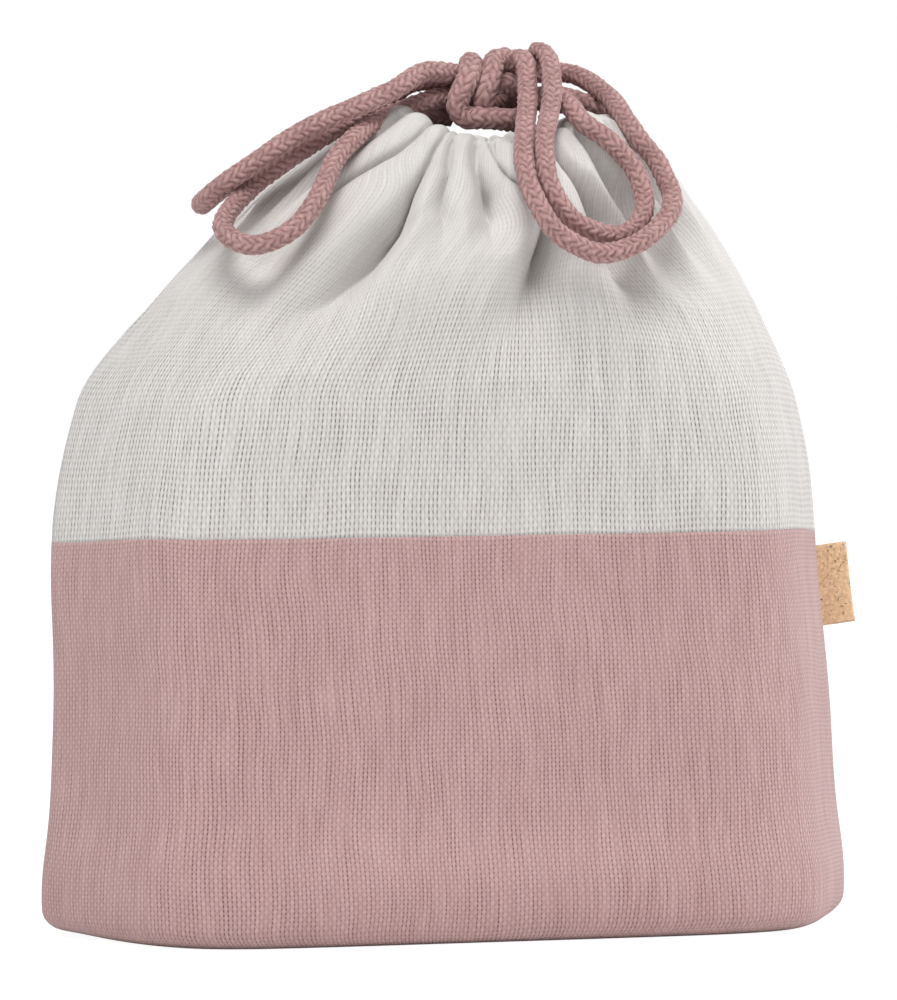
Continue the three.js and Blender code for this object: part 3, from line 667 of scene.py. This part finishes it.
def base_cloth():
    """Flat panel of pink cloth under the box, as rings from a small hub out to its outline. Its cut is
    the outline itself."""
    turns = TURNS[:-1:2]
    outline = bag_surface(turns, np.full_like(turns, BASE_ROUND), BASE_ROUND)[:, :2]
    share = np.concatenate([[BASE_HUB], np.linspace(0, 1, BASE_ROWS)[1:]])[:, None, None]
    level = BASE_CLEARANCE + seam_lift(turns) * smoothstep(0.7, 1, share[..., 0])
    points = np.concatenate([share * outline, level[..., None]], axis=-1)
    made = piece("base_cloth", points, points * np.array([1, 1, 0]), closed=True, caps=(0,), material=PINK,
                 nodes=["base_panel"])
    thicken(made)


base_cloth()

# Drawcord

CORD_SIDES, HIDDEN_CORD_SIDES = 56, 24
CORD_STEP = 0.32
HIDDEN_CORD_STEPS = 3
CORD_END = 1.2
SWELL, KNOT_SWELL = 0.2, 0.6
PLAITS = 8
PLAIT_PITCH = 2.7
PLAIT_DEPTH = 0.75


def through(points):
    """Centripetal Catmull-Rom curve through the points, sampled every CORD_STEP millimetres."""
    p = np.array(points, float)
    p = np.concatenate([[2 * p[0] - p[1]], p, [2 * p[-1] - p[-2]]])
    t = np.concatenate([[0], np.cumsum(np.linalg.norm(np.diff(p, axis=0), axis=1) ** 0.5)])
    share = np.linspace(0, 1, 41)[None, :-1, None]

    def mix(a, b, ta, tb, at):
        """The point at a parameter of the straight line that is at a for ta and at b for tb."""
        return ((tb - at) * a + (at - ta) * b) / (tb - ta)

    p0, p1, p2, p3 = (p[i:len(p) - 3 + i, None] for i in range(4))
    t0, t1, t2, t3 = (t[i:len(t) - 3 + i, None, None] for i in range(4))
    at = t1 + share * (t2 - t1)
    a1, a2, a3 = mix(p0, p1, t0, t1, at), mix(p1, p2, t1, t2, at), mix(p2, p3, t2, t3, at)
    b1, b2 = mix(a1, a2, t0, t2, at), mix(a2, a3, t1, t3, at)
    line = np.concatenate([mix(b1, b2, t1, t2, at).reshape(-1, 3), p[-2:-1]])
    run = run_length(line, 0)
    even = np.linspace(0, run[-1], max(12, int(run[-1] / CORD_STEP)))
    return np.stack([np.interp(even, run, line[:, i]) for i in range(3)], axis=-1)


def frames_along(line):
    """Two unit normals at each point of a line, carried on without twist."""
    tangent = np.gradient(line, axis=0)
    tangent /= np.linalg.norm(tangent, axis=1, keepdims=True)
    side = np.cross(tangent[0], [0.3, 0.2, 0.93])
    sides = []
    for direction in tangent:
        side = side - direction * (side @ direction)
        side = side / np.linalg.norm(side)
        sides.append(side)
    sides = np.array(sides)
    return sides, np.cross(tangent, sides)


def plait_relief(run, turn):
    """Round braid of PLAITS yarns each way, over two and under two. A yarn is a plump ridge
    |sin|^0.5 that swells where it floats on top, and the higher of the two families shows. Yarns
    wander a little, and no two stitches are equally full. Returns the height from 0 to 1 and the
    place across the yarn that shows."""
    wander = 0.13 * np.sin(0.83 * run + 2 * turn) + 0.09 * np.sin(2.1 * run - 3 * turn + 1)
    reliefs, places = [], []
    for way in (1, -1):
        yarn = PLAITS * turn / (2 * math.pi) + way * (run / PLAIT_PITCH + wander)
        other = PLAITS * turn / (2 * math.pi) - way * (run / PLAIT_PITCH + wander)
        ridge = np.abs(np.sin(math.pi * yarn)) ** 0.5
        float_on = np.sin(math.pi / 2 * (np.floor(yarn) + other + (0 if way > 0 else 2)))
        full = 0.9 + 0.1 * np.sin(12.9 * np.floor(yarn) + 4.7 * np.floor(other / 2))
        reliefs.append(ridge * full * (0.64 + 0.36 * float_on))
        places.append(yarn % 1)
    top = reliefs[0] > reliefs[1]
    return np.where(top, reliefs[0], reliefs[1]), np.where(top, places[0], places[1])


def braid(name, points, nodes, body="bag", fine=True, swell=SWELL):
    """Braided cord along a route: a ring of radius CORD / 2 plus swell, less the hollows between the
    plaits, carried along the curve. It rounds off at its ends, as the root of the distance to them."""
    line = through(points)
    if not fine:
        line = line[::HIDDEN_CORD_STEPS]
    sides, ups = frames_along(line)
    count = CORD_SIDES if fine else HIDDEN_CORD_SIDES
    turn = np.arange(count) * 2 * math.pi / count
    run = run_length(line, 0)
    relief, place = plait_relief(run[:, None], turn[None])
    lumps = 0.07 * np.sin(1.7 * run[:, None] + turn) + 0.05 * np.sin(3.9 * run[:, None] - 2 * turn)
    radius = CORD / 2 + swell + lumps - PLAIT_DEPTH * (1 - relief)
    ends = np.minimum(run, run[-1] - run)
    radius = radius * np.sqrt(np.clip(ends / CORD_END, 0.02, 1))[:, None]
    ring = np.cos(turn)[None, :, None] * sides[:, None] + np.sin(turn)[None, :, None] * ups[:, None]
    points = line[:, None] + radius[..., None] * ring
    made = piece(name, points, closed=True, caps=(0, -1), material=BRAID, body=body,
                 nodes=nodes)
    attribute = made.data.attributes.new("plait", "FLOAT_VECTOR", "POINT")
    values = np.stack([relief, place, np.zeros_like(relief)], axis=-1)
    attribute.data.foreach_set("vector", values.astype(np.float32).ravel())
    return made, line


# Routes of the drawcord's stretches in millimetres, as on the solids, but for the front of the knot's
# core, which stands about 3 mm higher, and the last stretch of the outer right loop, which lies lower
ROUTES = {
    "knot_left_wrap": [
        (5.4, -3.6, 256.6), (4.4, -8.3, 258.8), (3, -13.4, 257.3), (0.5, -16.8, 253.4), (-1.8, -17, 248.6),
        (-2, -16.6, 245.2), (0.4, -16.6, 242.7), (5, -17, 242.5), (10.5, -16.8, 242.1), (15.5, -14.5, 241.8),
        (19, -10.5, 241.8)],
    "knot_right_wrap": [
        (15.7, -8.8, 259.8), (13.4, -9.4, 260), (10.9, -10.9, 259.1), (9.2, -14.2, 256.8), (7.4, -16.4, 253),
        (6.3, -16.6, 250), (6, -16.2, 248.6)],
    "knot_core": [
        (3.6, -9, 250), (9, -9.5, 251.5), (13.5, -9.5, 253), (18, -7.5, 252), (21, -3.5, 249.5),
        (21, 1.5, 247.8), (16.5, 5.7, 247), (10, 6.4, 246.5), (3.6, 6.4, 246.5)],
    "left_loop_outer": [
        (-3.2, -11.5, 255.8), (-11.8, -14.5, 256.2), (-24.4, -20.5, 250.2), (-51.2, -22.5, 239),
        (-68.8, -20, 227.4), (-75.1, -14.8, 222.2), (-77.8, -5.5, 217.6), (-75.2, 3, 217.2),
        (-68.2, 8, 221.3), (-43.6, 9.5, 236.7), (-30.2, 7.5, 244.2), (-9.3, 4, 253.2), (-7, 2.6, 253.6),
        (-1.5, 1.8, 253.2)],
    "left_loop_inner": [
        (-1.5, -4.6, 254.2), (-9, -4.8, 253.8), (-15, -6, 252.2), (-19.9, -6.5, 248.7), (-29.1, -10, 244.2),
        (-49.1, -15, 233.6), (-65.4, -15, 222.1), (-76.7, -25, 212.5), (-77.8, -31, 208.8), (-72, -40, 205.4),
        (-61.6, -43, 209.5), (-52.4, -39.5, 218.8), (-44.5, -30, 229.3), (-39.8, -26.5, 234.2),
        (-24.8, -14.5, 242.2), (-7, -9.4, 248.2), (-1.5, -8.6, 248.8)],
    "right_loop_outer": [
        (19.5, -0.5, 258), (19.4, -6, 259.8), (19.6, -13, 259.5), (18.4, -20, 252.3), (15.5, -29, 245.1),
        (11.1, -40.5, 237.5), (7.9, -52, 225.8), (10.9, -60, 214.1), (15.5, -62, 208.2), (27.6, -62, 202.9),
        (41.3, -59, 206.3), (53.5, -49.5, 214.7), (56.2, -43, 219.6), (55.7, -38, 224.6),
        (54.3, -33.5, 229.9), (50.9, -29, 235.6), (48.8, -22, 241.5), (47.7, -13, 247.2), (42.7, 3, 254.6),
        (39.1, 6.5, 255.9), (25.5, 7, 255.2)],
    "right_loop_inner": [
        (26.3, -0.5, 258.5), (26.1, -6.5, 262.2), (27, -12.5, 260.4), (24.9, -24, 250.8),
        (22.2, -30.5, 245.1), (15.7, -45, 233.9), (14.9, -53.5, 222.8), (21.5, -56, 212.4),
        (33.9, -54.5, 208), (40.5, -52, 209.4), (44.6, -49.5, 213.2), (46.8, -45.5, 218.5),
        (45.8, -42.5, 225), (42.6, -39.2, 231.2), (37.6, -36.7, 236.5), (31.8, -32.7, 241.2),
        (29.9, -28.3, 245), (29, -21, 247.9), (27.2, -14, 248.8)],
    "left_lead_front": [
        (-16.7, -12.6, 234.3), (-18.4, -10.6, 235), (-19, -4.2, 238.2), (-14.5, -3, 241.2), (-6, -1.2, 242.6),
        (1.3, -0.6, 243)],
    "left_lead_back": [
        (-16.7, 12.6, 234.3), (-18.4, 10.6, 235), (-19, 4.2, 238.2), (-14.5, 4.6, 241.6), (-6, 6, 245),
        (2.6, 6.4, 246.5)],
    "right_lead_front": [
        (51.4, -14.6, 231), (52.9, -12.5, 232), (53.5, -6, 237.5), (50, -4.4, 242.6), (41, -4, 247),
        (33, -4.2, 249), (27.6, -4.4, 249.2)],
    "right_lead_back": [
        (51.4, 14.6, 231), (52.9, 12.5, 232), (53.5, 6, 237.5), (50, 4.4, 242.4), (41, 5, 246),
        (33, 6.4, 247.3), (27.2, 7.4, 247.4)],
}

# Ends tucked on into the knot, past the ends of the solids: before the first point, after the last
TUCKS = {
    "left_loop_outer": ((2.4, -9.8, 255.4), (4, 2.4, 251.5)),
    "left_loop_inner": ((4, -4.6, 253.6), (4, -8.4, 249.6)),
    "right_loop_outer": ((17.5, 3.8, 254.6), (19.5, 6, 253.6)),
    "right_loop_inner": ((24.8, 4.4, 255.4), (24, -9.6, 249.2)),
    "knot_left_wrap": ((7.5, 0.8, 253.4), (21.5, -5.8, 244)),
    "knot_right_wrap": ((20.2, -8.4, 258.2), (5.8, -13.6, 245.6)),
}
for node, (first, last) in TUCKS.items():
    ROUTES[node] = [first] + ROUTES[node] + [last]


def bend_from_knot(made):
    """Bakes the loop's placement into its mesh. The loop keeps the shape of its route, unbent, and its ends
    stay in the knot."""
    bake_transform(made)


LOOPS = [("left_loop_outer", "left_loops"), ("left_loop_inner", "left_loops"),
         ("right_loop_outer", "right_loops"), ("right_loop_inner", "right_loops")]
for node, body in LOOPS:
    made, line = braid(node + "_braid", ROUTES.pop(node), [node], None)
    bend_from_knot(made)
for node, points in ROUTES.items():
    braid(node + "_braid", points, [node], swell=KNOT_SWELL if node.startswith("knot") else SWELL)

CASING_CORD_INSET = 7.0


def casing_cord(name, node, from_turn, to_turn, level, leads):
    """Drawcord inside the casing, the share level of the way up its slope and CASING_CORD_INSET in from
    its outer wall, from the start of one lead to the start of the other. Turns are in degrees."""
    turn = np.radians(np.linspace(from_turn, to_turn, 41))
    foot = bag_surface(turn, np.full_like(turn, CASING_FOOT))
    rim = bag_surface(turn, np.full_like(turn, MOUTH))
    slope = rim - foot
    out = np.cross(np.gradient(foot, axis=0), slope)
    out /= np.linalg.norm(out, axis=1, keepdims=True)
    route = foot + level * slope - CASING_CORD_INSET * out
    route[0], route[-1] = (ROUTES[lead][0] for lead in leads)
    braid(name, route, [node], fine=False)


casing_cord("left_casing_braid", "left_casing_cord", -153, 153, 0.71, ("left_lead_front", "left_lead_back"))
casing_cord("right_casing_braid", "right_casing_cord", 27, 333, 0.29, ("right_lead_back", "right_lead_front"))

# Side tag

TAG_HEIGHT = 24.5
TAG_REACH = 8.7
TAG_HALF = 1.1
TAG_SEWN = 2.2
TAG_PINCH_END = 5.0
TAG_CURL = 0.5
TAG_FORWARD = 0.3
TAG_CLOTH = 0.7
TAG_TILT = math.radians(7)
TAG_ROOT = np.array([joint["pos_m"] for joint in frame["joints"] if joint["name"] == "tag_fold"][0]) / MM


def side_tag():
    """Strip of cork cloth folded round its outer edge and sewn into the seam: a U, pinched towards the
    seam, carried upwards on a tilt, and curled back a little at mid height."""
    leg = np.linspace(-TAG_SEWN, TAG_REACH - TAG_HALF, 18)
    arc = np.linspace(-math.pi / 2, math.pi / 2, 12)[1:-1]
    reach = np.concatenate([leg, TAG_REACH - TAG_HALF + TAG_HALF * np.cos(arc), leg[::-1]])
    pinch = TAG_HALF * (0.45 + 0.55 * smoothstep(-TAG_SEWN, TAG_PINCH_END, leg))
    side = np.concatenate([-pinch, TAG_HALF * np.sin(arc), pinch[::-1]])
    up = np.linspace(0, TAG_HEIGHT, 30)[:, None]
    curl = TAG_CURL * np.sin(math.pi * up / TAG_HEIGHT) * (reach / TAG_REACH) ** 2
    x = TAG_ROOT[0] + reach * math.cos(TAG_TILT) - up * math.sin(TAG_TILT)
    y = side + curl - TAG_FORWARD
    z = TAG_ROOT[2] + up * math.cos(TAG_TILT) + reach * math.sin(TAG_TILT)
    points = np.stack(np.broadcast_arrays(x, y, z), axis=-1)
    made = piece("side_tag_cork", points, material=CORK, body="tag", nodes=["side_tag"])
    thicken(made, TAG_CLOTH)


side_tag()

# Binding tapes, which keep their solids
for node in ("base_seam_binding", "front_waist_binding", "back_waist_binding", "left_seam_binding",
             "right_seam_binding"):
    frame["nodes"][node].data.materials.clear()
    frame["nodes"][node].data.materials.append(TAPE)

# Stage

LIT_POINT = Vector((0, 0, 0.12))
ROOM_LIGHT = 0.22


def floor():
    """Pale floor. To the camera it is partly lit white, so that only a soft shadow shows."""
    material, tree, shader = new_material("pale_floor")
    shader.inputs["Base Color"].default_value = paint("f2f2f2")
    shader.inputs["Roughness"].default_value = 0.9
    rays = add(tree, "ShaderNodeLightPath")
    white = add(tree, "ShaderNodeEmission", {"Color": (1, 1, 1, 1), "Strength": 1.25})
    part = add(tree, "ShaderNodeMath", {0: rays.outputs["Is Camera Ray"], 1: 0.75}, operation="MULTIPLY")
    mixed = add(tree, "ShaderNodeMixShader", {0: part, 1: shader, 2: white})
    tree.links.new(mixed.outputs[0], tree.nodes["Material Output"].inputs["Surface"])
    mesh = bpy.data.meshes.new("floor")
    mesh.from_pydata([(-4, -4, 0), (4, -4, 0), (4, 8, 0), (-4, 8, 0)], [], [(0, 1, 2, 3)])
    made = bpy.data.objects.new("floor", mesh)
    bpy.context.scene.collection.objects.link(made)
    mesh.materials.append(material)


def softbox(name, place, size, power):
    """Square area lamp aimed at the middle of the bag."""
    lamp = bpy.data.lights.new(name, "AREA")
    lamp.size = size
    lamp.energy = power
    made = bpy.data.objects.new(name, lamp)
    made.location = place
    made.rotation_euler = (LIT_POINT - Vector(place)).to_track_quat("-Z", "Y").to_euler()
    bpy.context.scene.collection.objects.link(made)


def room_light():
    """White to the camera and in reflections, dimmer as a light."""
    world = bpy.data.worlds.new("studio")
    bpy.context.scene.world = world
    world.use_nodes = True
    tree = world.node_tree
    rays = add(tree, "ShaderNodeLightPath")
    seen = add(tree, "ShaderNodeMath", {0: rays.outputs["Is Camera Ray"], 1: rays.outputs["Is Glossy Ray"]},
               operation="MAXIMUM")
    seen = add(tree, "ShaderNodeMath", {0: seen, 1: rays.outputs["Is Transmission Ray"]}, operation="MAXIMUM")
    strength = add(tree, "ShaderNodeMapRange", {"Value": seen, "To Min": ROOM_LIGHT, "To Max": 1.0})
    tree.links.new(strength.outputs[0], tree.nodes["Background"].inputs["Strength"])
    tree.nodes["Background"].inputs["Color"].default_value = (1, 1, 1, 1)


CAMERA_AZIMUTH = math.radians(-17)
CAMERA_DISTANCE = 2.4
CAMERA_HEIGHT = 0.248
AIM_HEIGHT = 0.1278
LENS = 288


def camera():
    """Long lens at the photograph's angle, aimed at the bag's middle."""
    data = bpy.data.cameras.new("camera")
    data.lens = LENS
    data.sensor_width = 36
    data.clip_end = 50
    made = bpy.data.objects.new("camera", data)
    place = Vector((CAMERA_DISTANCE * math.sin(CAMERA_AZIMUTH), -CAMERA_DISTANCE * math.cos(CAMERA_AZIMUTH),
                    CAMERA_HEIGHT))
    made.location = place
    made.rotation_euler = (Vector((0, 0, AIM_HEIGHT)) - place).to_track_quat("-Z", "Y").to_euler()
    bpy.context.scene.collection.objects.link(made)
    bpy.context.scene.camera = made


floor()
room_light()
softbox("key", (-0.35, -1.0, 2.2), 1.3, 43)
softbox("left_fill", (-1.7, -0.9, 0.8), 0.9, 8)
softbox("right_fill", (1.9, -0.25, 0.8), 0.9, 22.5)
softbox("back_fill", (0.3, 2.0, 1.3), 1.2, 14)
camera()
bpy.context.scene.view_settings.view_transform = "Standard"
